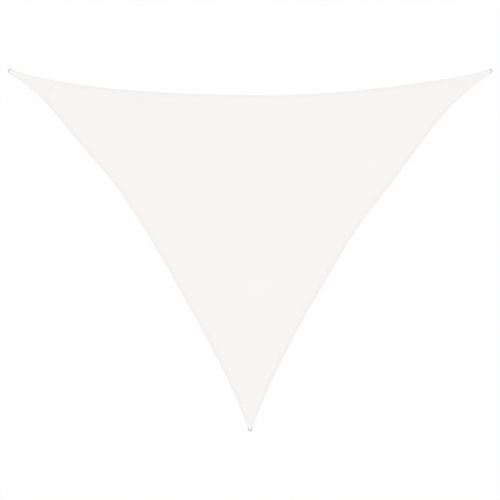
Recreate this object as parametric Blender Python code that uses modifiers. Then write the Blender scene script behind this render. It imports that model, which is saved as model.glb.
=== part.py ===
# Triangular shade sail, spread out face up.
#
# Metres, +Z up. The origin lies under the middle of the footprint, +X runs along the long top
# edge and the lone lower corner points towards -Y. Each corner has a local frame of its own: its
# origin is the centre of the ring's bow, its +X runs along the corner's axis into the cloth and
# its +Z is up.

import math
from collections import namedtuple

import bmesh
import bpy
from mathutils import Vector

# Where the three ring bows are centred
TOP_SPAN = 4.000
DROP = 2.982

# Cloth: one layer in the field, folded layers in the hem and under the corner patches
FIELD_THICK = 0.0012
HEM_THICK = 0.0026
HEM_WIDTH = 0.032
HEM_STEP = 0.004
GAP = 0.0003

# Corner tip of the cloth, measured from the ring's bow along the corner's axis
TIP_REACH = 0.028
TIP_HALF = 0.024
TIP_TAPER = 0.44
TIP_LIFT = 0.0215
TIP_FADE = 0.117

# Each edge runs from one ring to the next, counterclockwise. It hollows inwards from the straight
# line between them by a parabola, with slow waves of two, three and more half turns on top.
Edge = namedtuple("Edge", "start end hollow waves")
EDGES = (
    Edge("left", "lower", 0.1948, (0.0205, 0.0018, -0.0003, 0.0047, 0.0053, 0.0039, 0.0019)),
    Edge("lower", "right", 0.1860, (-0.0117, 0.0064, -0.0075, 0.0069, -0.0035, -0.0015, 0.0007)),
    Edge("right", "left", 0.2039, (-0.0045, 0.0030, -0.0042, 0.0003)),
)
EDGE_STEPS = 36
EDGE_CROWDING = 0.80

# The field lies a little off the ground in broad low swells, and is flat near the hem
FIELD_LOOPS = (0.0, 0.10, 0.22, 0.38, 0.56, 0.76)
SWELL_START = 0.22
SWELL_MEAN = 0.0040
Swell = namedtuple("Swell", "height length heading phase")
SWELLS = (
    Swell(0.0014, 1.30, 24.0, 0.6),
    Swell(0.0011, 0.95, 97.0, 2.1),
    Swell(0.0009, 0.70, -38.0, 4.0),
)

# Corner patch: cut from a strip of this width, a little inside the cloth's edge
PATCH_BASE = 0.200
PATCH_THICK = 0.0012
PATCH_INSET = 0.004
PATCH_TIP = 0.0335
PATCH_STEPS = 9
PATCH_CROWDING = 1.6

# Webbing tab
TAB_WIDTH = 0.027
TAB_THICK = 0.0016
TAB_JOIN = 0.032
TAB_UPPER_END = 0.150
TAB_LOWER_END = 0.144
TAB_BEND_STEPS = 14

# D-ring: a narrow bow, arms that spread and a straight bar with tight corners
WIRE_RADIUS = 0.003
WIRE_SIDES = 12
BOW_RADIUS = 0.0135
BAR_REACH = 0.0222
BAR_HALF = 0.0178
BAR_CORNER = 0.004
BOW_STEPS = 17
CORNER_STEPS = 5

RINGS = {
    "left": Vector((-TOP_SPAN / 2, DROP / 2)),
    "lower": Vector((0.0, -DROP / 2)),
    "right": Vector((TOP_SPAN / 2, DROP / 2)),
}
MIDDLE = (RINGS["left"] + RINGS["lower"] + RINGS["right"]) / 3

# Heights of the stack at a corner
PATCH_BOTTOM = HEM_THICK + GAP
TAB_BOTTOM = PATCH_BOTTOM + PATCH_THICK + GAP
TAB_MIDDLE = TAB_BOTTOM + TAB_THICK + GAP / 2
TAB_LEG = (TAB_THICK + GAP) / 2

# The ring leans from the tab's height at its bar down to the ground at its bow
RING_TILT = math.atan((TAB_MIDDLE - WIRE_RADIUS) / (BAR_REACH + BOW_RADIUS))
RING_HEIGHT = WIRE_RADIUS + BOW_RADIUS * math.sin(RING_TILT)
BAR_PLACE = (BAR_REACH * math.cos(RING_TILT), RING_HEIGHT + BAR_REACH * math.sin(RING_TILT))


def clearScene():
    for thing in list(bpy.data.objects):
        bpy.data.objects.remove(thing, do_unlink=True)


def makeMaterial(name, color, roughness, metallic):
    material = bpy.data.materials.new(name)
    material.use_nodes = True
    shader = material.node_tree.nodes["Principled BSDF"]
    shader.inputs["Base Color"].default_value = (*color, 1.0)
    shader.inputs["Roughness"].default_value = roughness
    shader.inputs["Metallic"].default_value = metallic
    material.diffuse_color = (*color, 1.0)
    return material


def addObject(name, data, material, parent=None):
    data.materials.append(material)
    thing = bpy.data.objects.new(name, data)
    partCollection.objects.link(thing)
    thing.parent = parent
    return thing


def smoothStep(value):
    value = min(max(value, 0.0), 1.0)
    return value * value * (3.0 - 2.0 * value)


# Outline of the cloth

def cornerAxis(corner):
    others = [place for name, place in RINGS.items() if name != corner]
    towards = sum(((place - RINGS[corner]).normalized() for place in others), Vector((0.0, 0.0)))
    return towards.normalized()


def toCorner(corner, point):
    axis = cornerAxis(corner)
    offset = point - RINGS[corner]
    return offset.dot(axis), offset.dot(Vector((-axis.y, axis.x)))


def fromCorner(corner, reach, side):
    axis = cornerAxis(corner)
    return RINGS[corner] + axis * reach + Vector((-axis.y, axis.x)) * side


def freeEdgePoint(edge, share):
    start = RINGS[edge.start]
    along = RINGS[edge.end] - start
    inward = Vector((-along.y, along.x)).normalized()
    depth = edge.hollow * 4.0 * share * (1.0 - share)
    for order, height in enumerate(edge.waves, start=2):
        depth += height * math.sin(order * math.pi * share)
    for distance in (share * along.length, (1.0 - share) * along.length):
        depth -= TIP_LIFT * math.exp(-distance / TIP_FADE)
    return start + along * share + inward * depth


def edgePoint(edge, share):
    point = freeEdgePoint(edge, share)
    for corner in (edge.start, edge.end):
        reach, side = toCorner(corner, point)
        limit = TIP_HALF + TIP_TAPER * max(reach - TIP_REACH, 0.0)
        if abs(side) > limit and reach < HEM_WIDTH * 4:
            point = fromCorner(corner, reach, math.copysign(limit, side))
    return point


def shareAtReach(edge, corner, reach):
    low, high = 0.0, 0.5
    for _ in range(40):
        middle = (low + high) / 2
        share = middle if corner == edge.start else 1.0 - middle
        if toCorner(corner, freeEdgePoint(edge, share))[0] < reach:
            low = middle
        else:
            high = middle
    return middle if corner == edge.start else 1.0 - middle


def edgeShares(edge):
    first = shareAtReach(edge, edge.start, TIP_REACH)
    last = shareAtReach(edge, edge.end, TIP_REACH)
    shares = []
    for step in range(EDGE_STEPS + 1):
        even = step / EDGE_STEPS
        crowded = even - EDGE_CROWDING * math.sin(2 * math.pi * even) / (2 * math.pi)
        shares.append(first + (last - first) * crowded)
    return shares


def patchReach(corner):
    # Along the corner's axis to where the cloth is as wide as the patch's base
    low, high = TIP_REACH, TOP_SPAN / 4
    for _ in range(30):
        middle = (low + high) / 2
        width = 0.0
        for edge in EDGES:
            if corner in (edge.start, edge.end):
                share = shareAtReach(edge, corner, middle)
                width += abs(toCorner(corner, freeEdgePoint(edge, share))[1])
        if width < PATCH_BASE:
            low = middle
        else:
            high = middle
    return middle


def hemDistance(edge, share, point):
    # How far towards the middle the folded layers reach from a point of the outline
    nudge = 0.001
    tangent = (freeEdgePoint(edge, share + nudge) - freeEdgePoint(edge, share - nudge)).normalized()
    ray = (MIDDLE - point).normalized()
    distance = HEM_WIDTH / max(abs(tangent.cross(ray)), 0.1)
    for corner in (edge.start, edge.end):
        reach = toCorner(corner, point)[0]
        rest = PATCH_REACHES[corner] + HEM_STEP - reach
        distance = max(distance, rest / max(ray.dot(cornerAxis(corner)), 0.1))
    return distance


def swellHeight(point, inwards):
    height = SWELL_MEAN
    for swell in SWELLS:
        heading = Vector((math.cos(math.radians(swell.heading)), math.sin(math.radians(swell.heading))))
        turn = 2 * math.pi * point.dot(heading) / swell.length + swell.phase
        height += swell.height * math.sin(turn)
    return height * smoothStep(inwards / SWELL_START)


def clothLoops():
    # Closed loops of points from the outline inwards, each with its thickness weight
    outline, hem, field = [], [], []
    for edge in EDGES:
        for share in edgeShares(edge):
            point = edgePoint(edge, share)
            ray = (MIDDLE - point).normalized()
            distance = hemDistance(edge, share, point)
            outline.append(point)
            hem.append(point + ray * distance)
            field.append(point + ray * (distance + HEM_STEP))
    loops = [([point.to_3d() for point in outline], 1.0), ([point.to_3d() for point in hem], 1.0)]
    for inwards in FIELD_LOOPS:
        loop = []
        for point in field:
            place = point.lerp(MIDDLE, inwards)
            loop.append(Vector((place.x, place.y, swellHeight(place, inwards))))
        loops.append((loop, 0.0))
    return loops


def addSailCloth():
    mesh = bpy.data.meshes.new("sail_cloth")
    builder = bmesh.new()
    weights = builder.verts.layers.deform.verify()
    previous = None
    for points, weight in clothLoops():
        current = [builder.verts.new(point) for point in points]
        for vert in current:
            vert[weights][0] = weight
        if previous:
            for index in range(len(current)):
                after = (index + 1) % len(current)
                builder.faces.new((previous[index], previous[after], current[after], current[index]))
        previous = current
    centre = builder.verts.new((MIDDLE.x, MIDDLE.y, swellHeight(MIDDLE, 1.0)))
    centre[weights][0] = 0.0
    for index in range(len(previous)):
        builder.faces.new((previous[index], previous[(index + 1) % len(previous)], centre))
    builder.to_mesh(mesh)
    builder.free()

    cloth = addObject("sail_cloth", mesh, clothMaterial)
    cloth.vertex_groups.new(name="folded")
    solidify = cloth.modifiers.new("thickness", "SOLIDIFY")
    solidify.thickness = HEM_THICK
    solidify.offset = 1.0
    solidify.vertex_group = "folded"
    solidify.thickness_vertex_group = FIELD_THICK / HEM_THICK


# Corner pieces, each in its corner's frame

def addCornerFrame(corner):
    frame = bpy.data.objects.new(corner + "_corner", None)
    partCollection.objects.link(frame)
    axis = cornerAxis(corner)
    frame.location = RINGS[corner].to_3d()
    frame.rotation_euler = (0.0, 0.0, math.atan2(axis.y, axis.x))
    return frame


def patchSide(corner, edge):
    # Points of one side of the patch, from its tip to its base, in the corner's frame
    length = PATCH_REACHES[corner] - PATCH_TIP
    points = []
    for step in range(PATCH_STEPS + 1):
        reach = PATCH_TIP + length * (step / PATCH_STEPS) ** PATCH_CROWDING
        share = shareAtReach(edge, corner, reach)
        side = toCorner(corner, edgePoint(edge, share))[1]
        inset = PATCH_INSET * (1.0 if side < 0 else -1.0)
        points.append((reach, side + inset))
    return points


def addCornerPatch(corner, frame):
    leaving = next(edge for edge in EDGES if edge.start == corner)
    arriving = next(edge for edge in EDGES if edge.end == corner)
    outline = patchSide(corner, leaving) + patchSide(corner, arriving)[::-1]

    curve = bpy.data.curves.new("corner_patch_" + corner, "CURVE")
    curve.dimensions = "2D"
    curve.fill_mode = "BOTH"
    curve.extrude = PATCH_THICK / 2
    spline = curve.splines.new("POLY")
    spline.points.add(len(outline) - 1)
    for point, (reach, side) in zip(spline.points, outline):
        point.co = (reach, side, 0.0, 1.0)
    spline.use_cyclic_u = True

    patch = addObject("corner_patch_" + corner, curve, clothMaterial, frame)
    patch.location.z = PATCH_BOTTOM + PATCH_THICK / 2


def tabPath():
    # Side view of the strap's middle line: upper leg, bend round the bar, lower leg
    barReach, barHeight = BAR_PLACE
    bend = WIRE_RADIUS + GAP + TAB_THICK / 2
    span = TAB_JOIN - barReach
    lift = TAB_MIDDLE - barHeight
    points = [(TAB_UPPER_END, TAB_MIDDLE + TAB_LEG), (TAB_JOIN, TAB_MIDDLE + TAB_LEG)]
    upper = math.atan2(lift + TAB_LEG, span) + math.acos(bend / math.hypot(span, lift + TAB_LEG))
    lower = math.atan2(lift - TAB_LEG, span) - math.acos(bend / math.hypot(span, lift - TAB_LEG))
    for step in range(TAB_BEND_STEPS + 1):
        angle = upper + (2 * math.pi + lower - upper) * step / TAB_BEND_STEPS
        points.append((barReach + bend * math.cos(angle), barHeight + bend * math.sin(angle)))
    points += [(TAB_JOIN, TAB_MIDDLE - TAB_LEG), (TAB_LOWER_END, TAB_MIDDLE - TAB_LEG)]
    return points


def addRingTab(corner, frame):
    mesh = bpy.data.meshes.new("ring_tab_" + corner)
    builder = bmesh.new()
    chain = [builder.verts.new((reach, -TAB_WIDTH / 2, height)) for reach, height in tabPath()]
    edges = [builder.edges.new(pair) for pair in zip(chain, chain[1:])]
    swept = bmesh.ops.extrude_edge_only(builder, edges=edges)
    moved = [item for item in swept["geom"] if isinstance(item, bmesh.types.BMVert)]
    bmesh.ops.translate(builder, verts=moved, vec=(0.0, TAB_WIDTH, 0.0))
    builder.to_mesh(mesh)
    builder.free()

    tab = addObject("ring_tab_" + corner, mesh, webbingMaterial, frame)
    solidify = tab.modifiers.new("thickness", "SOLIDIFY")
    solidify.thickness = TAB_THICK
    solidify.offset = 0.0


def arcPoints(centre, radius, first, last, steps):
    points = []
    for step in range(steps + 1):
        angle = first + (last - first) * step / steps
        points.append((centre[0] + radius * math.cos(angle), centre[1] + radius * math.sin(angle)))
    return points


def ringPath():
    # Bow, then one corner, the bar and the other corner, joined by straight tangents
    cornerReach = BAR_REACH - BAR_CORNER
    cornerSide = BAR_HALF - BAR_CORNER
    distance = math.hypot(cornerReach, cornerSide)
    slope = math.atan2(cornerSide, cornerReach) + math.acos((BOW_RADIUS - BAR_CORNER) / distance)
    around = 2 * math.pi
    path = arcPoints((0.0, 0.0), BOW_RADIUS, slope, around - slope, BOW_STEPS)
    path += arcPoints((cornerReach, -cornerSide), BAR_CORNER, around - slope, around, CORNER_STEPS)
    path += arcPoints((cornerReach, cornerSide), BAR_CORNER, 0.0, slope, CORNER_STEPS)
    return path


def addRing(corner, frame):
    curve = bpy.data.curves.new("ring_" + corner, "CURVE")
    curve.dimensions = "3D"
    curve.bevel_depth = WIRE_RADIUS
    curve.bevel_resolution = WIRE_SIDES // 2 - 2
    path = ringPath()
    spline = curve.splines.new("POLY")
    spline.points.add(len(path) - 1)
    for point, (reach, side) in zip(spline.points, path):
        point.co = (reach, side, 0.0, 1.0)
        # Half a facet's turn, so that one row of flats faces into the ring's eye
        point.tilt = math.pi / WIRE_SIDES
    spline.use_cyclic_u = True
    spline.use_smooth = True

    ring = addObject("ring_" + corner, curve, steelMaterial, frame)
    ring.location.z = RING_HEIGHT
    ring.rotation_euler.y = -RING_TILT


clearScene()
PATCH_REACHES = {corner: patchReach(corner) for corner in RINGS}
partCollection = bpy.data.collections.new("shade_sail")
bpy.context.scene.collection.children.link(partCollection)

clothMaterial = makeMaterial("shade cloth", (0.91, 0.90, 0.88), 0.85, 0.0)
webbingMaterial = makeMaterial("webbing", (0.84, 0.83, 0.81), 0.80, 0.0)
steelMaterial = makeMaterial("stainless steel", (0.62, 0.62, 0.63), 0.25, 1.0)

addSailCloth()
for cornerName in RINGS:
    cornerFrame = addCornerFrame(cornerName)
    addCornerPatch(cornerName, cornerFrame)
    addRingTab(cornerName, cornerFrame)
    addRing(cornerName, cornerFrame)
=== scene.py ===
import math
from functools import cache
from itertools import groupby

import bmesh
import bpy
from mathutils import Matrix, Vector, noise


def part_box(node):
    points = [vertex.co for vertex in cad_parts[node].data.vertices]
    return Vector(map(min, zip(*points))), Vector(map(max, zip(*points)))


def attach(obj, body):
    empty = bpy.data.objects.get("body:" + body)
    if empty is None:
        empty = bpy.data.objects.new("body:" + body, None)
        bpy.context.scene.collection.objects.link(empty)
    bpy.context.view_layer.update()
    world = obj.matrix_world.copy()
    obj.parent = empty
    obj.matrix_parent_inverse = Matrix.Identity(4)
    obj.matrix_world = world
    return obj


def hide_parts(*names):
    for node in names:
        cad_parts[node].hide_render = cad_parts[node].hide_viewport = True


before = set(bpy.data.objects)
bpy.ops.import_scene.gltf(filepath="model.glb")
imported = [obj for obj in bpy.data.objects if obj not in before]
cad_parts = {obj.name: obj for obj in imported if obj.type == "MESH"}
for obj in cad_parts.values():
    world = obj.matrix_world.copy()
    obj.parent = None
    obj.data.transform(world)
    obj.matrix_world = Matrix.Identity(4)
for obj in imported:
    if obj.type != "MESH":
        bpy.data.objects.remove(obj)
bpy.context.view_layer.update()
scene = bpy.context.scene
mm = 0.001

# What a user would change on the rings; the layout below is measured from the rings' own boxes
ring = {
    "wireRadius": 3.0 * mm,
    "bowRadius": 13.5 * mm,
    "barReach": 22.2 * mm,
    "barHalf": 17.8 * mm,
    "barCorner": 4.0 * mm,
    "sides": 20,
    "bowSteps": 44,
    "cornerSteps": 10,
    "bowShadeFrom": 16.0 * mm,  # painted shade darkens the wire on this side of the bow
}

# The cut of the cloth. Each edge runs counterclockwise from ring to ring and hollows inwards by a
# parabola, with slow waves of two, three and more half turns on top. The hem's darker tone is painted
# shade in the cloth's colour, set for each edge, fading into the field from fadeStart over fadeWidth.
cloth = {
    "edges": (
        {"start": "left", "end": "lower", "hollow": 0.1948, "shade": 0.84, "fadeStart": 8 * mm,
         "fadeWidth": 46 * mm, "waves": (0.0205, 0.0018, -0.0003, 0.0047, 0.0053, 0.0039, 0.0019)},
        {"start": "lower", "end": "right", "hollow": 0.1860, "shade": 0.80, "fadeStart": 9 * mm,
         "fadeWidth": 46 * mm, "waves": (-0.0117, 0.0064, -0.0075, 0.0069, -0.0035, -0.0015, 0.0007)},
        {"start": "right", "end": "left", "hollow": 0.2039, "shade": 0.98, "fadeStart": 5 * mm,
         "fadeWidth": 36 * mm, "waves": (-0.0045, 0.0030, -0.0042, 0.0003)},
    ),
    "tipReach": 28.0 * mm,  # from the middle of the ring's bow to the cloth's blunt tip
    "tipRound": 5.0 * mm,
    "tipHalf": 24.0 * mm,  # the tip is no wider than this, and widens by tipTaper as far as tipEnd
    "tipTaper": 0.44,
    "tipEnd": 128.0 * mm,
    "tipLift": 21.5 * mm,  # the edges stand out by this at the rings, dying away over tipFade
    "tipFade": 117.0 * mm,
    "hemWidth": 32.0 * mm,
    "hemThick": 2.6 * mm,
    "hemStep": 4.0 * mm,
    "hemEase": 11.0 * mm,  # over which the fold's thickness dies out in the field
    "foldRound": 1.2 * mm,
    "fieldThick": 1.0 * mm,
    "leastSquare": 0.1,  # for the tips, where an edge runs almost along its ray to the middle
    "cornerSquare": 0.2,
    "cornerBlend": 0.4,
    "outerRow": 5.0 * mm,  # stitch rows, from the edge
    "innerRow": 26.0 * mm,
    "rowDip": 0.22 * mm,
    "rowDipWidth": 1.8 * mm,
    "pucker": 0.26 * mm,  # gathers along the rows: height, length, slant, and reach from each row
    "puckerLength": 17.0 * mm,
    "puckerSlant": 0.35,
    "puckerAcross": 50.0 * mm,
    "puckerSeed": 3.7,
    "puckerReach": (("innerRow", 22 * mm, 1.0), ("outerRow", 8 * mm, 0.6)),
    "deepestPucker": -0.2 * mm,
    "patchShade": 0.8,  # share of the hem's painted shade that a patch on top hides
    "patchShadeEase": 8.0 * mm,
    "edgeSteps": (712, 712, 784),
    "tipSteps": 8,
    "loops": (0.0, 0.35, 1.2, 3.2, 5.0, 6.8, 12.0, 19.0, 24.2, 26.0, 27.8, 31.5, 34.0, 37.0, 40.0,
              43.5, 54.0, 72.0),  # rings of points round the cloth, in millimetres from its edge
    "topOnly": (3.2, 6.8, 19.0, 31.5, 37.0, 40.0),
    "innerLoops": (0.03, 0.065, 0.105, 0.15, 0.2, 0.26, 0.33, 0.41, 0.5, 0.6, 0.7, 0.8, 0.9),
    "finerLoops": 6,
    "thinning": (4, 8),  # the finer inner loops keep one point in four, the others one in eight
    "sharpFrom": 60.0,
    "swellStart": 0.22,
    "swellMean": 4.0 * mm,
    "swells": (  # height, length, heading in degrees, phase
        (1.4 * mm, 1.30, 24.0, 0.6),
        (1.1 * mm, 0.95, 97.0, 2.1),
        (0.9 * mm, 0.70, -38.0, 4.0),
    ),
    "pull": 0.5 * mm,  # soft pleats that fan out of the corners
    "pullFan": 22.0,
    "pullPhase": 0.7,
    "pullFree": 0.5,
    "pullReach": 0.75,
    "pullStart": 0.12,
}
corners = ("left", "lower", "right")


def smoothStep(value):
    value = min(max(value, 0.0), 1.0)
    return value * value * (3.0 - 2.0 * value)


def dip(distance, width):
    return math.exp(-(distance / width) ** 2)


def arcPoints(centre, radius, first, last, steps):
    angles = [first + (last - first) * step / steps for step in range(steps + 1)]
    across, up = centre
    return [(across + radius * math.cos(angle), up + radius * math.sin(angle)) for angle in angles]


def ringCentre(corner):
    low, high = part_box("ring_" + corner)
    reach = ring["bowRadius"] + ring["wireRadius"]
    across = {"left": low[0] + reach, "right": high[0] - reach, "lower": (low[0] + high[0]) / 2}
    up = low[1] + reach if corner == "lower" else high[1] - reach
    return Vector((across[corner], up))


rings = {corner: ringCentre(corner) for corner in corners}
middle = (rings["left"] + rings["lower"] + rings["right"]) / 3
axes = {}  # from each ring into the cloth
for cornerName in corners:
    others = [rings[name] for name in corners if name != cornerName]
    first, second = [(other - rings[cornerName]).normalized() for other in others]
    axes[cornerName] = (first + second).normalized()


def toCorner(corner, point):
    axis = axes[corner]
    offset = point - rings[corner]
    return offset.dot(axis), offset.dot(Vector((-axis.y, axis.x)))


def fromCorner(corner, reach, side, height=None):
    axis = axes[corner]
    place = rings[corner] + axis * reach + Vector((-axis.y, axis.x)) * side
    return place if height is None else Vector((place.x, place.y, height))


def freeEdgePoint(edge, share):
    start = rings[edge["start"]]
    along = rings[edge["end"]] - start
    inward = Vector((-along.y, along.x)).normalized()
    depth = edge["hollow"] * 4.0 * share * (1.0 - share)
    for order, height in enumerate(edge["waves"], start=2):
        depth += height * math.sin(order * math.pi * share)
    for distance in (share * along.length, (1.0 - share) * along.length):
        depth -= cloth["tipLift"] * math.exp(-distance / cloth["tipFade"])
    return start + along * share + inward * depth


def edgePoint(edge, share):
    point = freeEdgePoint(edge, share)
    for corner in (edge["start"], edge["end"]):
        reach, side = toCorner(corner, point)
        beyondTip = max(reach - cloth["tipReach"], 0.0)
        limit = cloth["tipHalf"] + cloth["tipTaper"] * beyondTip
        if abs(side) > limit and reach < cloth["tipEnd"]:
            point = fromCorner(corner, reach, math.copysign(limit, side))
    return point


def shareAtReach(edge, corner, reach, halvings=40):
    low, high = 0.0, 0.5
    for _ in range(halvings):
        half = (low + high) / 2
        share = half if corner == edge["start"] else 1.0 - half
        if toCorner(corner, freeEdgePoint(edge, share))[0] < reach:
            low = half
        else:
            high = half
    return half if corner == edge["start"] else 1.0 - half


patch = {
    "base": 200.0 * mm,
    "inset": 4.0 * mm,
    "tip": 33.5 * mm,
    "thick": 1.0 * mm,
    "rim": 3.0 * mm,  # over which its border rounds off
    "rimCurve": 0.75,
    "slant": 0.95,  # distance to a side of the patch, for one measured across its axis
    "turned": 9.0 * mm,
    "turnedRise": 0.12 * mm,
    "turnedEase": 2.5 * mm,
    "strapEnd": 150.0 * mm,
    "strapHalf": 13.5 * mm,
    "strapEase": 3.0 * mm,
    "row": 5.0 * mm,
    "baseRow": 12.0 * mm,
    "rowStart": 6.0 * mm,
    "rowEnd": 4.0 * mm,
    "rowSteps": 80,
    "baseSteps": 40,
    "rowDip": 0.16 * mm,
    "rowDipWidth": 1.4 * mm,
    "hemLine": 0.15 * mm,
    "hemLineEase": 4.0 * mm,
    "unevenness": 0.055 * mm,  # less than the gap below the strap
    "unevenLength": 20.0 * mm,
    "unevenSeed": 1.3,
    "rows": 110,
    "rowCrowding": 0.05,
    "columns": 56,
    "columnCrowding": 0.85 / math.tau,
    "seam": 0.004 * mm,  # points closer than this become one
}


def patchReachAt(corner):
    axis = axes[corner]
    low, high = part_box("corner_patch_" + corner)
    if corner == "lower":
        return high[1] - rings[corner].y
    # The base of a slanting patch runs square to the axis: its far corner gives the reach
    side = (high[0] - rings[corner].x) if corner == "left" else (rings[corner].x - low[0])
    return (side - patch["base"] / 2 * abs(axis.y)) / abs(axis.x)


patchReach = {corner: patchReachAt(corner) for corner in corners}
print("patches reach", {corner: round(reach, 3) for corner, reach in patchReach.items()})


# Stations round the cloth: a point of the outline, the ray from it to the middle of the sail, how
# square that ray is to the edge, and how far along it the folded layers reach
def makeStation(edge, after, turn, point, tangent):
    ray = (middle - point).normalized()
    square = max(abs(tangent.cross(ray)), cloth["leastSquare"])
    straight = cloth["hemWidth"] / square
    folded = straight
    for corner in (edge["start"], edge["end"]):
        rest = patchReach[corner] + cloth["hemStep"] - toCorner(corner, point)[0]
        folded = max(folded, rest / max(ray.dot(axes[corner]), cloth["leastSquare"]))
    usual = min(straight, cloth["hemWidth"] / cloth["cornerSquare"])
    corner = smoothStep((folded / usual - 1.0) / cloth["cornerBlend"])
    return {"point": point, "ray": ray, "square": square, "folded": folded, "corner": corner,
            "edge": edge, "after": after, "turn": turn, "span": (middle - point).length}


def tipPoints(edge, after):
    # Across a tip of the cloth: one rounded corner, the straight end and the other rounded corner
    near, nearSide, far, farSide = [
        edgePoint(item, shareAtReach(item, edge["end"], reach)) for item in (edge, after)
        for reach in (cloth["tipReach"], cloth["tipReach"] + cloth["tipRound"])]
    along = (far - near).normalized() * cloth["tipRound"]
    spans = ((nearSide, near, near + along), (near + along, (near + far) / 2, far - along),
             (far - along, far, farSide))
    points = []
    for first, pull, last in spans:
        for step in range(cloth["tipSteps"]):
            share = step / cloth["tipSteps"]
            points.append(first.lerp(pull, share).lerp(pull.lerp(last, share), share))
    return points[1:]


def makeStations():
    outline = []
    for edge, steps in zip(cloth["edges"], cloth["edgeSteps"]):
        after = next(item for item in cloth["edges"] if item["start"] == edge["end"])
        reach = cloth["tipReach"] + cloth["tipRound"]
        first, last = [shareAtReach(edge, edge[end], reach) for end in ("start", "end")]
        for step in range(steps + 1):
            share = first + (last - first) * step / steps
            outline.append((edge, after, 0.0, edgePoint(edge, share)))
        tip = tipPoints(edge, after)
        for index, point in enumerate(tip, start=1):
            outline.append((edge, after, index / (len(tip) + 1), point))
    stations, travelled = [], 0.0
    for index, (edge, after, turn, point) in enumerate(outline):
        before, beyond = outline[index - 1][3], outline[(index + 1) % len(outline)][3]
        station = makeStation(edge, after, turn, point, (beyond - before).normalized())
        travelled += (point - before).length
        station["travelled"] = travelled
        stations.append(station)
    return stations


def swellHeight(place, inwards):
    height = cloth["swellMean"]
    for rise, length, heading, phase in cloth["swells"]:
        turn = math.radians(heading)
        run = place.x * math.cos(turn) + place.y * math.sin(turn)
        height += rise * math.sin(2 * math.pi * run / length + phase)
    return height * smoothStep(inwards / cloth["swellStart"])


def pullHeight(place):
    height = 0.0
    for corner in corners:
        reach, side = toCorner(corner, place)
        distance = math.hypot(reach, side)
        fade = math.exp(-(distance / cloth["pullReach"]) ** 2)
        fade *= smoothStep(distance / cloth["pullFree"])
        turn = math.atan2(side, reach) * cloth["pullFan"] + cloth["pullPhase"]
        height += fade * math.cos(turn)
    return cloth["pull"] * (1.0 + height) / 2


def puckerHeight(station, offset):
    # Small gathers that the stitch rows draw across the hem and a little way into the field
    length = cloth["puckerLength"]
    along = station["travelled"] / length + offset / length * cloth["puckerSlant"]
    place = Vector((along, offset / cloth["puckerAcross"], cloth["puckerSeed"]))
    reach = sum(share * dip(offset - cloth[row], width)
                for row, width, share in cloth["puckerReach"])
    return cloth["pucker"] * noise.noise(place) * reach * (1.0 - station["corner"])


def rayDistance(station, offset):
    # Outer loops follow the edge, inner loops follow the inner side of the fold
    if offset <= cloth["hemWidth"] / 2:
        return offset / station["square"]
    square = station["square"] + (1.0 - station["square"]) * station["corner"]
    return station["folded"] - (cloth["hemWidth"] - offset) / square


def clothHeights(station, offset, place, distance):
    # Top and underside of the cloth: folded at the hem, one layer on low swells in the field
    thick, single = cloth["hemThick"], cloth["fieldThick"]
    width = cloth["rowDipWidth"]
    rows = sum(dip(offset - cloth[row], width) for row in ("outerRow", "innerRow"))
    dips = rows * cloth["rowDip"] * (1.0 - station["corner"])
    roundness = 1.0 - min(offset / cloth["foldRound"], 1.0)
    fold = thick / 2 * (1.0 - math.sqrt(1.0 - roundness ** 2))
    ease = smoothStep((offset - cloth["hemWidth"]) / cloth["hemEase"])
    bulge = puckerHeight(station, offset)
    start = station["folded"] + cloth["hemStep"]
    inwards = (distance - start) / (station["span"] - start)
    pulled = pullHeight(place) * smoothStep(inwards / cloth["pullStart"])
    lie = swellHeight(place, inwards) + pulled
    under = lie + fold + dips / 2 + max(bulge, 0.0) / 2
    top = lie + thick - fold - dips - ease * (thick - single) + max(bulge, cloth["deepestPucker"])
    return top, under


def edgeShade(station, offset):
    # Painted shade: how much darker the cloth is painted than its field, as a share of the hem's full
    # shade
    shades = []
    for edge in (station["edge"], station["after"]):
        fade = 1.0 - smoothStep((offset - edge["fadeStart"]) / edge["fadeWidth"])
        shades.append(edge["shade"] * fade)
    shade = shades[0] + (shades[1] - shades[0]) * station["turn"]
    inPatch = smoothStep((offset - cloth["hemWidth"] / 2) / cloth["patchShadeEase"])
    return shade * (1.0 - cloth["patchShade"] * station["corner"] * inPatch)


def bridge(faces, outer, inner, upwards):
    # Faces between two nested loops, where the outer one may have several points for each inner one
    ratio = len(outer) // len(inner)
    for index in range(len(inner)):
        nextIn = inner[(index + 1) % len(inner)]
        fan = [outer[(index * ratio + step) % len(outer)] for step in range(ratio + 1)]
        half = (ratio + 1) // 2
        made = []
        if ratio == 1:
            made.append((fan[0], fan[1], nextIn, inner[index]))
        else:
            made += [(fan[step], fan[step + 1], inner[index]) for step in range(half)]
            made.append((fan[half], nextIn, inner[index]))
            made += [(fan[step], fan[step + 1], nextIn) for step in range(half, ratio)]
        faces += made if upwards else [face[::-1] for face in made]


def newMesh(name, verts, links, faces):
    mesh = bpy.data.meshes.new(name)
    mesh.from_pydata(verts, links, faces)
    return mesh


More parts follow.
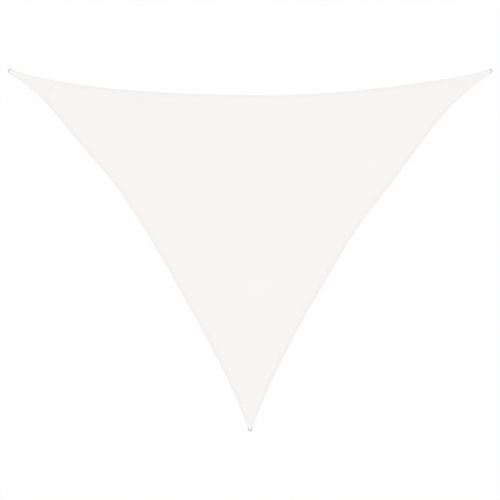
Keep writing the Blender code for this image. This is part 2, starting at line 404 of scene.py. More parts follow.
def buildCloth(stations):
    verts, shades, faces = [], [], []
    topLoops, underLoops = [], []

    def addLoops(items, distances, offsets, withUnder=True):
        places = [item["point"] + item["ray"] * distance for item, distance in zip(items, distances)]
        heights = [clothHeights(*row) for row in zip(items, offsets, places, distances)]
        tones = [edgeShade(item, offset) for item, offset in zip(items, offsets)]
        for level, loops in enumerate((topLoops, underLoops) if withUnder else (topLoops,)):
            if level == 1 and offsets[0] == 0.0:
                loops.append(topLoops[0])  # the two sides meet on the fold's outermost line
                continue
            loops.append(list(range(len(verts), len(verts) + len(items))))
            verts.extend((place.x, place.y, height[level]) for place, height in zip(places, heights))
            shades.extend(tones)

    for offset in cloth["loops"]:
        distances = [rayDistance(item, offset * mm) for item in stations]
        withUnder = offset not in cloth["topOnly"]
        addLoops(stations, distances, [offset * mm] * len(stations), withUnder)
    outermost = cloth["loops"][-1] * mm
    for index, share in enumerate(cloth["innerLoops"]):
        thinned = stations[::cloth["thinning"][0 if index < cloth["finerLoops"] else 1]]
        starts = [rayDistance(item, outermost) for item in thinned]
        distances = [start + (item["span"] - start) * share for item, start in zip(thinned, starts)]
        offsets = [outermost + distance - start for distance, start in zip(distances, starts)]
        addLoops(thinned, distances, offsets)
    for loops, upwards in ((topLoops, True), (underLoops, False)):
        for outer, inner in zip(loops, loops[1:]):
            bridge(faces, outer, inner, upwards)
        centre = len(verts)
        height = swellHeight(middle, 1.0) + pullHeight(middle)
        verts.append((middle.x, middle.y, height + (cloth["fieldThick"] if upwards else 0.0)))
        shades.append(0.0)
        last = loops[-1]
        for index in range(len(last)):
            face = (last[index], last[(index + 1) % len(last)], centre)
            faces.append(face if upwards else face[::-1])

    mesh = newMesh("sailCloth", verts, [], faces)
    # The folded attribute carries the hem's painted shade into the cloth's colour
    layer = mesh.attributes.new("folded", "FLOAT", "POINT")
    layer.data.foreach_set("value", shades)
    mesh.shade_smooth()
    mesh.set_sharp_from_angle(angle=math.radians(cloth["sharpFrom"]))
    return mesh


def closeSeams(mesh, distance, sharpFrom=50.0):
    builder = bmesh.new()
    builder.from_mesh(mesh)
    bmesh.ops.remove_doubles(builder, verts=builder.verts, dist=distance)
    bmesh.ops.recalc_face_normals(builder, faces=builder.faces)
    builder.to_mesh(mesh)
    builder.free()
    mesh.shade_smooth()
    mesh.set_sharp_from_angle(angle=math.radians(sharpFrom))


def addObject(name, data):
    item = bpy.data.objects.new(name, data)
    scene.collection.objects.link(item)
    return item


def placePiece(name, mesh, material):
    mesh.materials.clear()
    mesh.materials.append(material)
    return addObject(name, mesh)


# Node trees, of shaders and of geometry
def openTree(kind, name, inputs, outputs):
    tree = bpy.data.node_groups.new(name, kind)
    for direction, sockets in (("INPUT", inputs), ("OUTPUT", outputs)):
        for socketName, socketKind, *value in sockets:
            socket = tree.interface.new_socket(
                name=socketName, in_out=direction, socket_type="NodeSocket" + socketKind)
            if value:
                socket.default_value = value[0]
    given, result = tree.nodes.new("NodeGroupInput"), tree.nodes.new("NodeGroupOutput")
    return tree, given.outputs, result.inputs


def feed(tree, socket, value):
    if isinstance(value, bpy.types.NodeSocket):
        tree.links.new(value, socket)
    else:
        socket.default_value = value


def feedNode(tree, node, inputs):
    # A value or a link for each socket that inputs names
    for name, value in inputs.items():
        feed(tree, node.inputs[name], value)
    return node


def addNode(tree, kind, inputs, **settings):
    node = tree.nodes.new(kind)
    for name, value in settings.items():
        setattr(node, name, value)
    return feedNode(tree, node, inputs)


def calculate(tree, operation, *values):
    return addNode(tree, "ShaderNodeMath", dict(enumerate(values)), operation=operation).outputs[0]


def multiply(tree, factor, *others):
    for other in others:
        factor = calculate(tree, "MULTIPLY", factor, other)
    return factor


def sineOf(tree, halfWaves):
    return calculate(tree, "SINE", multiply(tree, halfWaves, math.pi))


def ramp(tree, value, low, high, outLow=0.0, outHigh=1.0):
    sockets = {"Value": value, "From Min": low, "From Max": high, "To Min": outLow, "To Max": outHigh}
    node = addNode(tree, "ShaderNodeMapRange", sockets, interpolation_type="SMOOTHSTEP")
    return node.outputs["Result"]


def noiseField(tree, vector, size, detail=2.0, rough=0.5):
    sockets = {"Vector": vector, "Scale": 1.0 / size, "Detail": detail, "Roughness": rough}
    return addNode(tree, "ShaderNodeTexNoise", sockets).outputs["Fac"]


def splitVector(tree, vector):
    return addNode(tree, "ShaderNodeSeparateXYZ", {0: vector}).outputs


# Chains of loops run up the cloth, and a thin tape zigzags between each two chains. Their edges are
# shares of a pitch from the middle of the chain or tape, and a gap's edge is a share of the height.
knit = {
    "chainPitch": 3.2 * mm,
    "loopPitch": 2.6 * mm,
    "beads": 0.45,
    "tapeHeight": 0.62,
    "chainEdge": (0.26, 0.05),
    "tapeEdge": (0.2, 0.04),
    "gapEdge": (0.32, 0.1),
}


def makeKnit():
    group, given, result = openTree(
        "ShaderNodeTree", "knittedLoops",
        (("Vector", "Vector"), ("Chain pitch", "Float", knit["chainPitch"]),
         ("Loop pitch", "Float", knit["loopPitch"])),
        (("Height", "Float"), ("Gap", "Float")))
    across, up, _ = splitVector(group, given["Vector"])
    chain = calculate(group, "DIVIDE", across, given["Chain pitch"])
    loop = calculate(group, "DIVIDE", up, given["Loop pitch"])
    fromChain = calculate(group, "PINGPONG", chain, 0.5)
    beads = calculate(group, "ABSOLUTE", sineOf(group, loop))
    beads = calculate(group, "MULTIPLY_ADD", beads, knit["beads"], 1.0 - knit["beads"])
    chainHeight = multiply(group, ramp(group, fromChain, *knit["chainEdge"]), beads)
    zigzag = calculate(group, "ADD", multiply(group, loop, 0.5), fromChain)
    fromTape = calculate(group, "SUBTRACT", calculate(group, "PINGPONG", zigzag, 0.5), 0.25)
    tape = ramp(group, calculate(group, "ABSOLUTE", fromTape), *knit["tapeEdge"])
    tapeHeight = multiply(group, tape, knit["tapeHeight"])
    height = calculate(group, "MAXIMUM", chainHeight, tapeHeight)
    feed(group, result["Height"], height)
    feed(group, result["Gap"], ramp(group, height, *knit["gapEdge"]))
    return group


# Slow drift of tone, a little soil and the fuzz of fibres
use = {
    "slowSize": 0.9,
    "middlingSize": 0.12,
    "middling": 0.35,
    "soilSize": 0.035,
    "soilEdge": (0.62, 0.78),
    "fuzzSize": 0.6 * mm,
}


def makeWear():
    group, given, result = openTree(
        "ShaderNodeTree", "softWear",
        (("Vector", "Vector"), ("Drift", "Float", 0.01), ("Soil", "Float", 0.02)),
        (("Tone", "Float"), ("Fuzz", "Float")))
    vector = given["Vector"]
    slow, middling = [
        calculate(group, "SUBTRACT", noiseField(group, vector, use[size], detail), 0.5)
        for size, detail in (("slowSize", 1.0), ("middlingSize", 3.0))]
    drift = calculate(group, "MULTIPLY_ADD", middling, use["middling"], slow)
    drift = multiply(group, drift, given["Drift"])
    spots = noiseField(group, vector, use["soilSize"], detail=4.0, rough=0.6)
    soil = multiply(group, ramp(group, spots, *use["soilEdge"]), given["Soil"])
    tone = calculate(group, "SUBTRACT", calculate(group, "ADD", 1.0, drift), soil)
    feed(group, result["Tone"], tone)
    feed(group, result["Fuzz"], noiseField(group, vector, use["fuzzSize"], detail=3.0, rough=0.7))
    return group


# Herringbone of fine yarns, across and along a strap, with painted shade in its low places
weaving = {"yarn": 1.3 * mm, "turnEvery": 3.0, "ribs": 0.65, "slants": 0.35, "shadeEdge": (0.35, -0.2)}


def makeStrapWeave():
    group, given, result = openTree(
        "ShaderNodeTree", "strapWeave",
        (("Across", "Float", 0.0), ("Along", "Float", 0.0), ("Yarn", "Float", weaving["yarn"])),
        (("Height", "Float"), ("Shade", "Float")))
    across, along = [calculate(group, "DIVIDE", given[name], given["Yarn"])
                     for name in ("Across", "Along")]
    slant = calculate(group, "ADD", along, calculate(group, "PINGPONG", across, weaving["turnEvery"]))
    slant = sineOf(group, slant)
    yarn = calculate(group, "ABSOLUTE", sineOf(group, across))
    yarn = multiply(group, yarn, weaving["ribs"])
    height = calculate(group, "MULTIPLY_ADD", slant, weaving["slants"], yarn)
    feed(group, result["Height"], height)
    feed(group, result["Shade"], ramp(group, height, *weaving["shadeEdge"]))
    return group


groups = {"knit": makeKnit(), "wear": makeWear(), "weave": makeStrapWeave()}

finish = {
    "cloth": (0.805, 0.788, 0.781),
    "patch": (0.800, 0.784, 0.776),
    "webbing": (0.796, 0.779, 0.772),
    "thread": (0.818, 0.802, 0.795),
    "steel": (0.72, 0.72, 0.73),
    "knitGapShade": (1.006, 0.93),  # painted shade: a little lighter on the loops, darker in the gaps between them
    # painted shade: lighter on the raised yarns, darker in the low places of the weave
    "weaveShadeTones": (1.02, 0.94),
    "bowShadeTone": 0.42,  # painted shade: the bow is painted darker than the arms
    "scratchEdge": (0.35, 0.75),
    "scratchRoughness": (0.30, 0.46),
    # painted shade: the cloth's colour factor where the hem's shade is full
    "hemPaintedShade": 0.968,
    "floor": (0.16, 0.16, 0.16),
    "floorGlow": 0.804,  # a lit white floor, so that hardly any shadow shows round the cloth
    "skyLight": 0.47,
    "sunLight": 2.24,
    "sunSoftness": 64.0,
    "sunTilt": (-4.0, -2.0),
    "backdrop": 0.991,
}


def newMaterial(name, roughness, specular=0.5, metallic=0.0):
    material = bpy.data.materials.new(name)
    material.use_nodes = True
    tree = material.node_tree
    values = {"Roughness": roughness, "Specular IOR Level": specular, "Metallic": metallic}
    return material, tree, feedNode(tree, tree.nodes["Principled BSDF"], values)


def placeGroup(tree, key, **values):
    return addNode(tree, "ShaderNodeGroup", values, node_tree=groups[key]).outputs


def placeWear(tree, drift, soil):
    place = addNode(tree, "ShaderNodeTexCoord", {}).outputs["Object"]
    return place, placeGroup(tree, "wear", Vector=place, Drift=drift, Soil=soil)


def attributeValue(tree, name):
    return addNode(tree, "ShaderNodeAttribute", {}, attribute_name=name).outputs["Fac"]


def addColor(tree, shader, color, *tones):
    # The finish's own colour times every tone that is given
    factor = multiply(tree, *tones)
    tinted = addNode(tree, "ShaderNodeVectorMath", {0: color, "Scale": factor}, operation="SCALE")
    feed(tree, shader.inputs["Base Color"], tinted.outputs[0])


def addBump(tree, shader, height, distance, strength):
    sockets = {"Distance": distance, "Strength": strength, "Height": height}
    feed(tree, shader.inputs["Normal"], addNode(tree, "ShaderNodeBump", sockets).outputs[0])


def clothMaterial(name, color, turn, withHemShade):
    material, tree, shader = newMaterial(name, roughness=0.86, specular=0.25)
    place, wear = placeWear(tree, drift=0.010, soil=0.004)
    turned = addNode(tree, "ShaderNodeMapping", {"Rotation": (0.0, 0.0, turn), "Vector": place})
    loops = placeGroup(tree, "knit", Vector=turned.outputs[0])
    # Painted shade darkens the gaps between the knitted loops
    tones = [wear["Tone"], ramp(tree, loops["Gap"], 0.0, 1.0, *finish["knitGapShade"])]
    if withHemShade:
        # Painted shade: the hem is painted darker, by the folded attribute
        folded = attributeValue(tree, "folded")
        tones.append(ramp(tree, folded, 0.0, 1.0, 1.0, finish["hemPaintedShade"]))
    addColor(tree, shader, color, *tones)
    height = calculate(tree, "MULTIPLY_ADD", wear["Fuzz"], 0.15, loops["Height"])
    addBump(tree, shader, height, distance=0.4 * mm, strength=0.35)
    return material


def webbingMaterial():
    material, tree, shader = newMaterial("webbing", roughness=0.78, specular=0.3)
    layout = addNode(tree, "ShaderNodeUVMap", {}, uv_map="strap")
    along, across, _ = splitVector(tree, layout.outputs[0])
    weave = placeGroup(tree, "weave", Across=across, Along=along)
    _, wear = placeWear(tree, drift=0.03, soil=0.03)
    # Painted shade: the low places of the weave are painted darker
    weaveShade = ramp(tree, weave["Shade"], 0.0, 1.0, *finish["weaveShadeTones"])
    addColor(tree, shader, finish["webbing"], wear["Tone"], weaveShade)
    height = calculate(tree, "MULTIPLY_ADD", wear["Fuzz"], 0.2, weave["Height"])
    addBump(tree, shader, height, distance=0.5 * mm, strength=0.4)
    return material


def threadMaterial():
    material, tree, shader = newMaterial("thread", roughness=0.55)
    _, wear = placeWear(tree, drift=0.03, soil=0.01)
    addColor(tree, shader, finish["thread"], wear["Tone"])
    addBump(tree, shader, wear["Fuzz"], distance=0.1 * mm, strength=0.5)
    return material


def steelMaterial():
    material, tree, shader = newMaterial("ringSteel", roughness=0.22, metallic=1.0)
    place, wear = placeWear(tree, drift=0.10, soil=0.05)
    # Painted shade: the bow is painted darker than the arms, by the bow attribute
    bowShadeTone = ramp(tree, attributeValue(tree, "bow"), 0.0, 0.75, 1.0, finish["bowShadeTone"])
    addColor(tree, shader, finish["steel"], wear["Tone"], bowShadeTone)
    scratches = noiseField(tree, place, size=0.9 * mm, detail=4.0, rough=0.7)
    rough = ramp(tree, scratches, *finish["scratchEdge"], *finish["scratchRoughness"])
    feed(tree, shader.inputs["Roughness"], rough)
    addBump(tree, shader, scratches, distance=0.04 * mm, strength=0.4)
    return material


finishes = {
    "cloth": clothMaterial("shadeCloth", finish["cloth"], 0.0, True),
    "webbing": webbingMaterial(),
    "thread": threadMaterial(),
    "steel": steelMaterial(),
}
for cornerName in corners:
    axisTurn = -math.atan2(axes[cornerName].y, axes[cornerName].x)
    patchCloth = clothMaterial("patchCloth_" + cornerName, finish["patch"], axisTurn, False)
    finishes["patch_" + cornerName] = patchCloth
print("materials made")

stations = makeStations()
sailCloth = placePiece("sailCloth", buildCloth(stations), finishes["cloth"])
print("cloth:", len(stations), "stations,", len(sailCloth.data.polygons), "faces")


def openShapeTree(name, inputs):
    inputs = (("Geometry", "Geometry"), *inputs, ("Finish", "Material"))
    return openTree("GeometryNodeTree", name, inputs, (("Geometry", "Geometry"),))


def closeShapeTree(tree, shape, given, result):
    # Both trees end in plain geometry, smooth and with its material
    realize = addNode(tree, "GeometryNodeRealizeInstances", {0: shape})
    smooth = addNode(tree, "GeometryNodeSetShadeSmooth", {0: realize.outputs[0]})
    painted = addNode(tree, "GeometryNodeSetMaterial", {
        "Geometry": smooth.outputs[0], "Material": given["Finish"]})
    feed(tree, result[0], painted.outputs[0])
    return tree


# Stitches: a chain of points becomes a row of small threads, laid end to end
def makeStitchTree():
    tree, given, result = openShapeTree("stitchRows", (
        ("Pitch", "Float", 0.005), ("Length", "Float", 0.0037), ("Thickness", "Float", 0.0006),
        ("Unevenness", "Float", 0.12), ("Seed", "Int", 7)))
    curve = addNode(tree, "GeometryNodeMeshToCurve", {0: given["Geometry"]})
    spread = addNode(tree, "GeometryNodeResampleCurve", {
        "Curve": curve.outputs[0], "Length": given["Pitch"]}, mode="LENGTH")
    points = addNode(tree, "GeometryNodeCurveToPoints", {
        "Curve": spread.outputs[0]}, mode="EVALUATED")
    bead = addNode(tree, "GeometryNodeMeshUVSphere", {"Segments": 6, "Rings": 4, "Radius": 0.5})
    lying = addNode(tree, "GeometryNodeTransform", {
        "Geometry": bead.outputs["Mesh"], "Rotation": (0.0, math.pi / 2, 0.0)})
    size = addNode(tree, "ShaderNodeCombineXYZ", {
        0: given["Length"], 1: given["Thickness"], 2: given["Thickness"]})
    least = calculate(tree, "SUBTRACT", 1.0, given["Unevenness"])
    uneven = addNode(tree, "FunctionNodeRandomValue", {
        "Seed": given["Seed"], 2: least, 3: 1.0}, data_type="FLOAT")
    scaled = addNode(tree, "ShaderNodeVectorMath", {
        0: size.outputs[0], "Scale": uneven.outputs[1]}, operation="SCALE")
    align = addNode(tree, "FunctionNodeAlignRotationToVector", {
        "Vector": points.outputs["Tangent"]}, axis="X", pivot_axis="Z")
    copies = addNode(tree, "GeometryNodeInstanceOnPoints", {
        "Points": points.outputs["Points"], "Instance": lying.outputs[0],
        "Rotation": align.outputs[0], "Scale": scaled.outputs[0]})
    return closeShapeTree(tree, copies.outputs[0], given, result)


# A tube along a closed chain of points
def makeWireTree():
    tree, given, result = openShapeTree("bentWire", (
        ("Wire radius", "Float", 0.003), ("Sides", "Int", 20)))
    curve = addNode(tree, "GeometryNodeMeshToCurve", {0: given["Geometry"]})
    profile = addNode(tree, "GeometryNodeCurvePrimitiveCircle", {
        "Resolution": given["Sides"], "Radius": given["Wire radius"]})
    sweep = addNode(tree, "GeometryNodeCurveToMesh", {
        "Curve": curve.outputs[0], "Profile Curve": profile.outputs[0]})
    return closeShapeTree(tree, sweep.outputs[0], given, result)


trees = {"stitches": makeStitchTree(), "wire": makeWireTree()}


def growPiece(name, chains, treeName, material, closed=False, **values):
    # Chains of points go through a node tree, and its result is kept as a plain mesh
    verts, links = [], []
    for chain in chains:
        start = len(verts)
        verts += [tuple(point) for point in chain]
        links += [(start + index, start + index + 1) for index in range(len(chain) - 1)]
        if closed:
            links.append((len(verts) - 1, start))
    guide = newMesh(name + "Guide", verts, links, [])
    source = addObject(name + "Guide", guide)
    modifier = source.modifiers.new("grow", "NODES")
    modifier.node_group = trees[treeName]
    sockets = {item.name: item.identifier for item in trees[treeName].interface.items_tree
               if item.in_out == "INPUT"}
    modifier[sockets["Finish"]] = material
    for key, value in values.items():
        modifier[sockets[key.replace("_", " ")]] = value
    evaluated = source.evaluated_get(bpy.context.evaluated_depsgraph_get())
    mesh = bpy.data.meshes.new_from_object(evaluated)
    mesh.name = name
    source.modifiers.clear()
    bpy.data.objects.remove(source)
    bpy.data.meshes.remove(guide)
    return placePiece(name, mesh, material)


stitch = {
    "hem": {"Pitch": 5.0 * mm, "Length": 3.9 * mm, "Thickness": 0.46 * mm, "Seed": 11},
    "patch": {"Pitch": 4.2 * mm, "Length": 3.4 * mm, "Thickness": 0.46 * mm, "Seed": 23},
    "tab": {"Pitch": 3.4 * mm, "Length": 2.9 * mm, "Thickness": 0.50 * mm, "Seed": 31},
    "sunk": 0.14 * mm,
    "tabLift": 0.10 * mm,
}


def hemChains():
    # Rows run from patch to patch, in the dips that the thread has drawn
    lift = stitch["hem"]["Thickness"] / 2 - stitch["sunk"]
    chains = []
    for offset in (cloth["outerRow"], cloth["innerRow"]):
        for inCorner, run in groupby(stations, key=lambda station: station["corner"] > 0.0):
            if inCorner:
                continue
            chain = []
            for station in run:
                distance = rayDistance(station, offset)
                place = station["point"] + station["ray"] * distance
                top = clothHeights(station, offset, place, distance)[0]
                chain.append((place.x, place.y, top + lift))
            chains.append(chain)
    return chains


def sew(key, chains):
    return growPiece(key + "Stitches", chains, "stitches", finishes["thread"], **stitch[key])


hemStitches = sew("hem", hemChains())
print("hem stitches:", len(hemStitches.data.polygons), "faces")

# Corner patches
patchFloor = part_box("corner_patch_left")[0][2]


@cache
def patchSides(corner, reach):
    # The patch's two sides at a reach along the corner's axis, as offsets across it
    found = []
    for edge in cloth["edges"]:
        if corner in (edge["start"], edge["end"]):
            share = shareAtReach(edge, corner, reach)
            found.append(toCorner(corner, edgePoint(edge, share))[1])
    return min(found) + patch["inset"], max(found) - patch["inset"]


def patchTop(corner, reach, side):
    # Height of the patch's top, and how far the place is from its border
    low, high = patchSides(corner, reach)
    fromSide = min(side - low, high - side) * patch["slant"]
    fromBase = patchReach[corner] - reach
    border = min(fromSide, reach - patch["tip"], fromBase)
    rise = 1.0 - smoothStep((border - patch["turned"]) / patch["turnedEase"])
    rise *= patch["turnedRise"]
    if reach < patch["strapEnd"]:  # under the strap the turned border is pressed flat
        rise *= smoothStep((abs(side) - patch["strapHalf"]) / patch["strapEase"])
    inHem = fromSide + patch["inset"] - cloth["hemWidth"]
    height = patchFloor + patch["thick"] + rise
    for distance in (border - patch["row"], fromBase - patch["baseRow"]):
        height -= patch["rowDip"] * dip(distance, patch["rowDipWidth"])
    height -= patch["hemLine"] * smoothStep(inHem / patch["hemLineEase"])
    length = patch["unevenLength"]
    uneven = noise.noise(Vector((reach / length, side / length, patch["unevenSeed"])))
    return height + patch["unevenness"] * uneven, border


def crowd(even, amount):
    # Even steps, drawn closer together towards both ends
    return even - amount * math.sin(math.tau * even)


def buildPatch(corner):
    tip, base = patch["tip"], patchReach[corner]
    rows, columns = patch["rows"], patch["columns"]
    verts, faces = [], []
    for layer in ("top", "under"):
        for row in range(rows + 1):
            reach = tip + (base - tip) * crowd(row / rows, patch["rowCrowding"])
            low, high = patchSides(corner, reach)
            for column in range(columns + 1):
                side = low + (high - low) * crowd(column / columns, patch["columnCrowding"])
                top, border = patchTop(corner, reach, side)
                share = min(max(border / patch["rim"], 0.0), 1.0)
                rim = math.sin(math.pi / 2 * share) ** patch["rimCurve"]
                height = patchFloor + (top - patchFloor) * rim if layer == "top" else patchFloor
                verts.append(fromCorner(corner, reach, side, height))
    wide = columns + 1
    size = wide * (rows + 1)
    for row in range(rows):
        for column in range(columns):
            first = row * wide + column
            quad = (first, first + wide, first + wide + 1, first + 1)
            faces.append(quad)
            faces.append(tuple(index + size for index in quad[::-1]))
    mesh = newMesh("cornerPatch_" + corner, verts, [], faces)
    closeSeams(mesh, patch["seam"])
    return mesh


def patchChains(corner):
    # Stitch rows along a patch's two sides, then the two rows along its base
    lift = stitch["patch"]["Thickness"] / 2 - stitch["sunk"]
    start = patch["tip"] + patch["rowStart"]
    length = patchReach[corner] - patch["rowEnd"] - start
    steps, inset = patch["rowSteps"], patch["row"] / patch["slant"]
    reaches = [start + length * step / steps for step in range(steps + 1)]
    routes = [[(reach, patchSides(corner, reach)[0] + inset) for reach in reaches],
              [(reach, patchSides(corner, reach)[1] - inset) for reach in reaches]]
    steps = patch["baseSteps"]
    for inset in (patch["row"], patch["baseRow"]):
        reach = patchReach[corner] - inset
        low, high = patchSides(corner, reach)
        wide = high - low - 2 * patch["rowStart"]
        routes.append([(reach, low + patch["rowStart"] + wide * step / steps)
                       for step in range(steps + 1)])
    return [[fromCorner(corner, *place, patchTop(corner, *place)[0] + lift) for place in route]
            for route in routes]


patches, patchRows = {}, []
for cornerName in corners:
    patches[cornerName] = placePiece(
        "cornerPatch_" + cornerName, buildPatch(cornerName), finishes["patch_" + cornerName])
    patchRows += patchChains(cornerName)
patchStitches = sew("patch", patchRows)
print("patches made")

# Webbing tabs: a strap goes round the ring's bar, and both its ends lie on the patch
tab = {
    "width": 2 * patch["strapHalf"],
    "thick": 1.0 * mm,
    "gap": 0.1 * mm,
    "wireGap": 0.25 * mm,
    "solidThick": 1.6 * mm,  # of the tab's solid: each leg, and the gaps below and between them
    "solidGap": 0.3 * mm,
    "upperJoin": 35.0 * mm,  # where each leg has come down to the patch
    "lowerJoin": 31.0 * mm,
    "upperEnd": patch["strapEnd"],
    "lowerEnd": 144.0 * mm,
    "bendSteps": 36,
    "joinSteps": 14,
    "legSteps": 60,
    "columns": 16,
    "rounding": 0.7 * mm,
    "roundEdge": ((0.2 * mm, 0.32), (0.0, 0.0), (0.2 * mm, -0.32)),  # inset, share of the thickness
    "boxStart": 60.0 * mm,
    "boxEnd": 143.0 * mm,
    "boxHalf": 9.5 * mm,
    "tackReach": 48.0 * mm,
    "tackHalf": 10.5 * mm,
    "tackGap": 1.2 * mm,
    "rowSteps": 12,
    "rowDip": 0.20 * mm,
    "rowDipWidth": 1.6 * mm,
    "pressedFrom": 5.0 * mm,  # the box stitching presses the strap's edges down from here outwards
    "pressed": 0.80 * mm,
    "pressedLead": 8.0 * mm,
    "pressedEase": 10.0 * mm,
    "seam": 0.001 * mm,
}
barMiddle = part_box("corner_patch_left")[1][2] + 1.5 * tab["solidGap"] + tab["solidThick"]
ringReach = ring["barReach"] + ring["bowRadius"]
ringTilt = math.atan((barMiddle - ring["wireRadius"]) / ringReach)
ringHeight = ring["wireRadius"] + ring["bowRadius"] * math.sin(ringTilt)
tabFloor = patchFloor + patch["thick"] + tab["gap"]


def boxRows():
    # The box with a cross on the upper leg, and the tack by the ring, in the corner's frame
    half = tab["boxHalf"]
    first, second = (tab["boxStart"], -half), (tab["boxEnd"], -half)
    third, fourth = (tab["boxEnd"], half), (tab["boxStart"], half)
    rows = [(first, second), (second, third), (third, fourth), (fourth, first), (first, third),
            (fourth, second)]
    for shift in (-tab["tackGap"], tab["tackGap"]):
        reach = tab["tackReach"] + shift
        rows.append(((reach, -tab["tackHalf"]), (reach, tab["tackHalf"])))
    return rows


def distanceToRow(reach, side, row):
    start, end = Vector(row[0]), Vector(row[1])
    place, along = Vector((reach, side)), end - start
    share = min(max((place - start).dot(along) / along.length_squared, 0.0), 1.0)
    return (start + along * share - place).length


def tabDip(reach, side):
    nearest = min(distanceToRow(reach, side, row) for row in boxRows())
    return tab["rowDip"] * dip(nearest, tab["rowDipWidth"])


def tabPress(reach, side):
    # The strap's edges are drawn down where the box holds them
    start = tab["pressedFrom"]
    outwards = smoothStep((abs(side) - start) / (tab["width"] / 2 - start))
    beyondJoin = reach - tab["upperJoin"] + tab["pressedLead"]
    return tab["pressed"] * outwards * smoothStep(beyondJoin / tab["pressedEase"])


def tabPath():
    # Middle line of the strap seen from the side: upper leg, round the bar, lower leg
    barReach = ring["barReach"] * math.cos(ringTilt)
    barHeight = ringHeight + ring["barReach"] * math.sin(ringTilt)
    bend = ring["wireRadius"] + tab["wireGap"] + tab["thick"] / 2
    lower = tabFloor + tab["thick"] / 2
    upper = lower + tab["thick"] + tab["gap"]
    legSteps, joinSteps = tab["legSteps"], tab["joinSteps"]
    path = []
    for name, level, top in (("upper", upper, barHeight + bend), ("lower", lower, barHeight - bend)):
        join, end = tab[name + "Join"], tab[name + "End"]
        leg = [(end + (join - end) * step / legSteps, level, name) for step in range(legSteps)]
        for step in range(joinSteps):
            share = step / joinSteps
            height = level + (top - level) * smoothStep(share)
            leg.append((join + (barReach - join) * share, height, name))
        if name == "upper":
            path += leg
            half = math.pi / 2
            around = arcPoints((barReach, barHeight), bend, half, 3 * half, tab["bendSteps"])
            path += [(*place, "bend") for place in around]
        else:
            path += leg[::-1]
    return path


def tabSection():
    # Across the strap and through it: top side and its rounded edge, then the same turned about
    half, columns = tab["width"] / 2, tab["columns"]
    flat = tab["width"] - 2 * tab["rounding"]
    section = [(-half + tab["rounding"] + flat * step / columns, 0.5) for step in range(columns + 1)]
    section += [(half - inset, level) for inset, level in tab["roundEdge"]]
    return section + [(-side, -level) for side, level in section]


def buildTab(corner):
    path, section = tabPath(), tabSection()
    verts, layout, faces = [], [], []
    travelled = 0.0
    for index, (reach, height, part) in enumerate(path):
        before, after = path[max(index - 1, 0)], path[min(index + 1, len(path) - 1)]
        forward = Vector((after[0] - before[0], after[1] - before[1])).normalized()
        outward = Vector((forward.y, -forward.x))
        if index:
            travelled += math.hypot(reach - before[0], height - before[1])
        for side, level in section:
            place = Vector((reach, height)) + outward * (level * tab["thick"])
            if part == "upper":  # both legs thin out alike, and the upper one sinks with the lower
                place.y -= tabPress(reach, side) * (1.5 + level)
                place.y -= tabDip(reach, side) if level == 0.5 else 0.0
            elif part == "lower":
                place.y -= tabPress(reach, side) * (0.5 - level)
            verts.append(fromCorner(corner, place.x, side, place.y))
            layout.append((travelled, side))
    wide = len(section)
    for first in range(0, wide * (len(path) - 1), wide):
        for column in range(wide):
            after = (column + 1) % wide
            faces.append((first + column, first + after, first + wide + after, first + wide + column))
    faces.append(tuple(range(wide)))
    faces.append(tuple(range(len(verts) - 1, len(verts) - 1 - wide, -1)))
    mesh = newMesh("ringTab_" + corner, verts, [], faces)
    strap = mesh.uv_layers.new(name="strap")
    for loop in mesh.loops:
        strap.data[loop.index].uv = layout[loop.vertex_index]
    closeSeams(mesh, tab["seam"])
    return mesh


tabs, tabRows = {}, []
tabTop = tabFloor + 2 * tab["thick"] + tab["gap"]
threadLevel = tabTop - tab["rowDip"] + stitch["tabLift"]
for cornerName in corners:
    tabs[cornerName] = placePiece("ringTab_" + cornerName, buildTab(cornerName), finishes["webbing"])
    for start, end in boxRows():
        chain = []
        for step in range(tab["rowSteps"] + 1):
            reach, side = Vector(start).lerp(Vector(end), step / tab["rowSteps"])
            level = threadLevel - 2 * tabPress(reach, side)
            chain.append(fromCorner(cornerName, reach, side, level))
        tabRows.append(chain)
tabStitches = sew("tab", tabRows)
print("tabs made")


# Rings
def ringChain(corner):
    cornerReach = ring["barReach"] - ring["barCorner"]
    cornerSide = ring["barHalf"] - ring["barCorner"]
    distance = math.hypot(cornerReach, cornerSide)
    difference = ring["bowRadius"] - ring["barCorner"]
    slope = math.atan2(cornerSide, cornerReach) + math.acos(difference / distance)
    around, small = 2 * math.pi, ring["cornerSteps"]
    path = arcPoints((0.0, 0.0), ring["bowRadius"], slope, around - slope, ring["bowSteps"])
    path += arcPoints((cornerReach, -cornerSide), ring["barCorner"], around - slope, around, small)
    path += arcPoints((cornerReach, cornerSide), ring["barCorner"], 0.0, slope, small)
    chain = []
    for reach, side in path:
        height = ringHeight + reach * math.sin(ringTilt)
        chain.append(fromCorner(corner, reach * math.cos(ringTilt), side, height))
    return chain


steelRings = {}
for cornerName in corners:
    steelRings[cornerName] = growPiece(
        "dRing_" + cornerName, [ringChain(cornerName)], "wire", finishes["steel"], closed=True,
        Wire_radius=ring["wireRadius"], Sides=ring["sides"])
    ringMesh = steelRings[cornerName].data
    # The bow attribute carries the ring's painted shade, darkest at the far end of the bow
    bowShadeLayer = ringMesh.attributes.new("bow", "FLOAT", "POINT")
    for vert in ringMesh.vertices:
        reach = toCorner(cornerName, vert.co.to_2d())[0]
        share = (ring["bowShadeFrom"] - reach) / (2 * ring["bowShadeFrom"])
        bowShadeLayer.data[vert.index].value = min(max(share, 0.0), 1.0)
print("rings made:", len(steelRings["lower"].data.polygons), "faces each")

# Floor, light and camera
view = {
    "lens": 85.0,
    "sensor": 36.0,
    "pictureWidth": 4.1655,  # metres of floor across the picture
    "aim": (-0.5 * mm, 0.75 * mm),
    "floorHalf": 120.0,
    "floorLevel": -0.2 * mm,
}


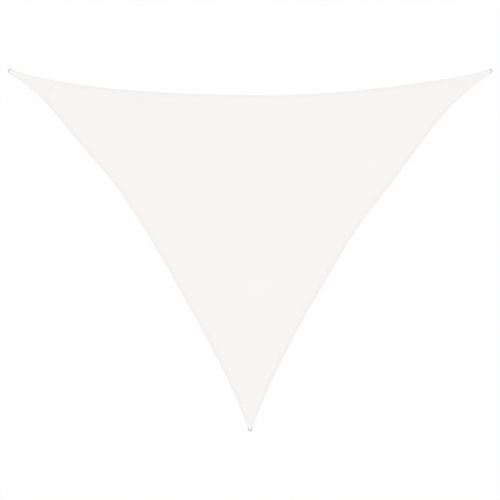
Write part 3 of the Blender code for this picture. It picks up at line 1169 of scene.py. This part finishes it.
def buildStage():
    half, level = view["floorHalf"], view["floorLevel"]
    places = [(x * half, y * half, level) for x, y in ((-1, -1), (1, -1), (1, 1), (-1, 1))]
    mesh = newMesh("studioFloor", places, [], [(0, 1, 2, 3)])
    material, tree, shader = newMaterial("paleFloor", roughness=0.95, specular=0.0)
    feedNode(tree, shader, {
        "Base Color": (*finish["floor"], 1.0), "Emission Strength": finish["floorGlow"]})
    floor = placePiece("studioFloor", mesh, material)

    world = bpy.data.worlds.new("softSky")
    scene.world = world
    world.use_nodes = True
    tree = world.node_tree
    sky = tree.nodes["Background"]
    feedNode(tree, sky, {"Color": (1.0, 1.0, 1.0, 1.0), "Strength": finish["skyLight"]})
    seen = addNode(tree, "ShaderNodeBackground", {"Strength": finish["backdrop"]})
    byCamera = addNode(tree, "ShaderNodeLightPath", {}).outputs["Is Camera Ray"]
    mix = addNode(tree, "ShaderNodeMixShader", {0: byCamera, 1: sky.outputs[0], 2: seen.outputs[0]})
    feed(tree, tree.nodes["World Output"].inputs["Surface"], mix.outputs[0])

    light = bpy.data.lights.new("softSun", "SUN")
    light.energy = finish["sunLight"]
    light.angle = math.radians(finish["sunSoftness"])
    sun = addObject("softSun", light)
    sun.rotation_euler = (*(math.radians(angle) for angle in finish["sunTilt"]), 0.0)


def placeCamera():
    data = bpy.data.cameras.new("camera")
    data.lens = view["lens"]
    data.sensor_width = view["sensor"]
    camera = addObject("camera", data)
    distance = view["pictureWidth"] * view["lens"] / view["sensor"]
    camera.location = (*view["aim"], distance)
    scene.camera = camera


buildStage()
placeCamera()
scene.view_settings.view_transform = "Standard"
scene.view_settings.look = "None"
print("stage and camera set")

# Who carries what, and what each piece stands for
roles = [(sailCloth, "shade_cloth", "sail_cloth")]
roles += [(piece, "webbing", None) for piece in (hemStitches, patchStitches, tabStitches)]
for group, slot, node in ((patches, "shade_cloth", "corner_patch_"), (tabs, "webbing", "ring_tab_"),
                          (steelRings, "ring_steel", "ring_")):
    roles += [(group[cornerName], slot, node + cornerName) for cornerName in corners]
for piece, slot, node in roles:
    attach(piece, "root")
    if node:
        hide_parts(node)
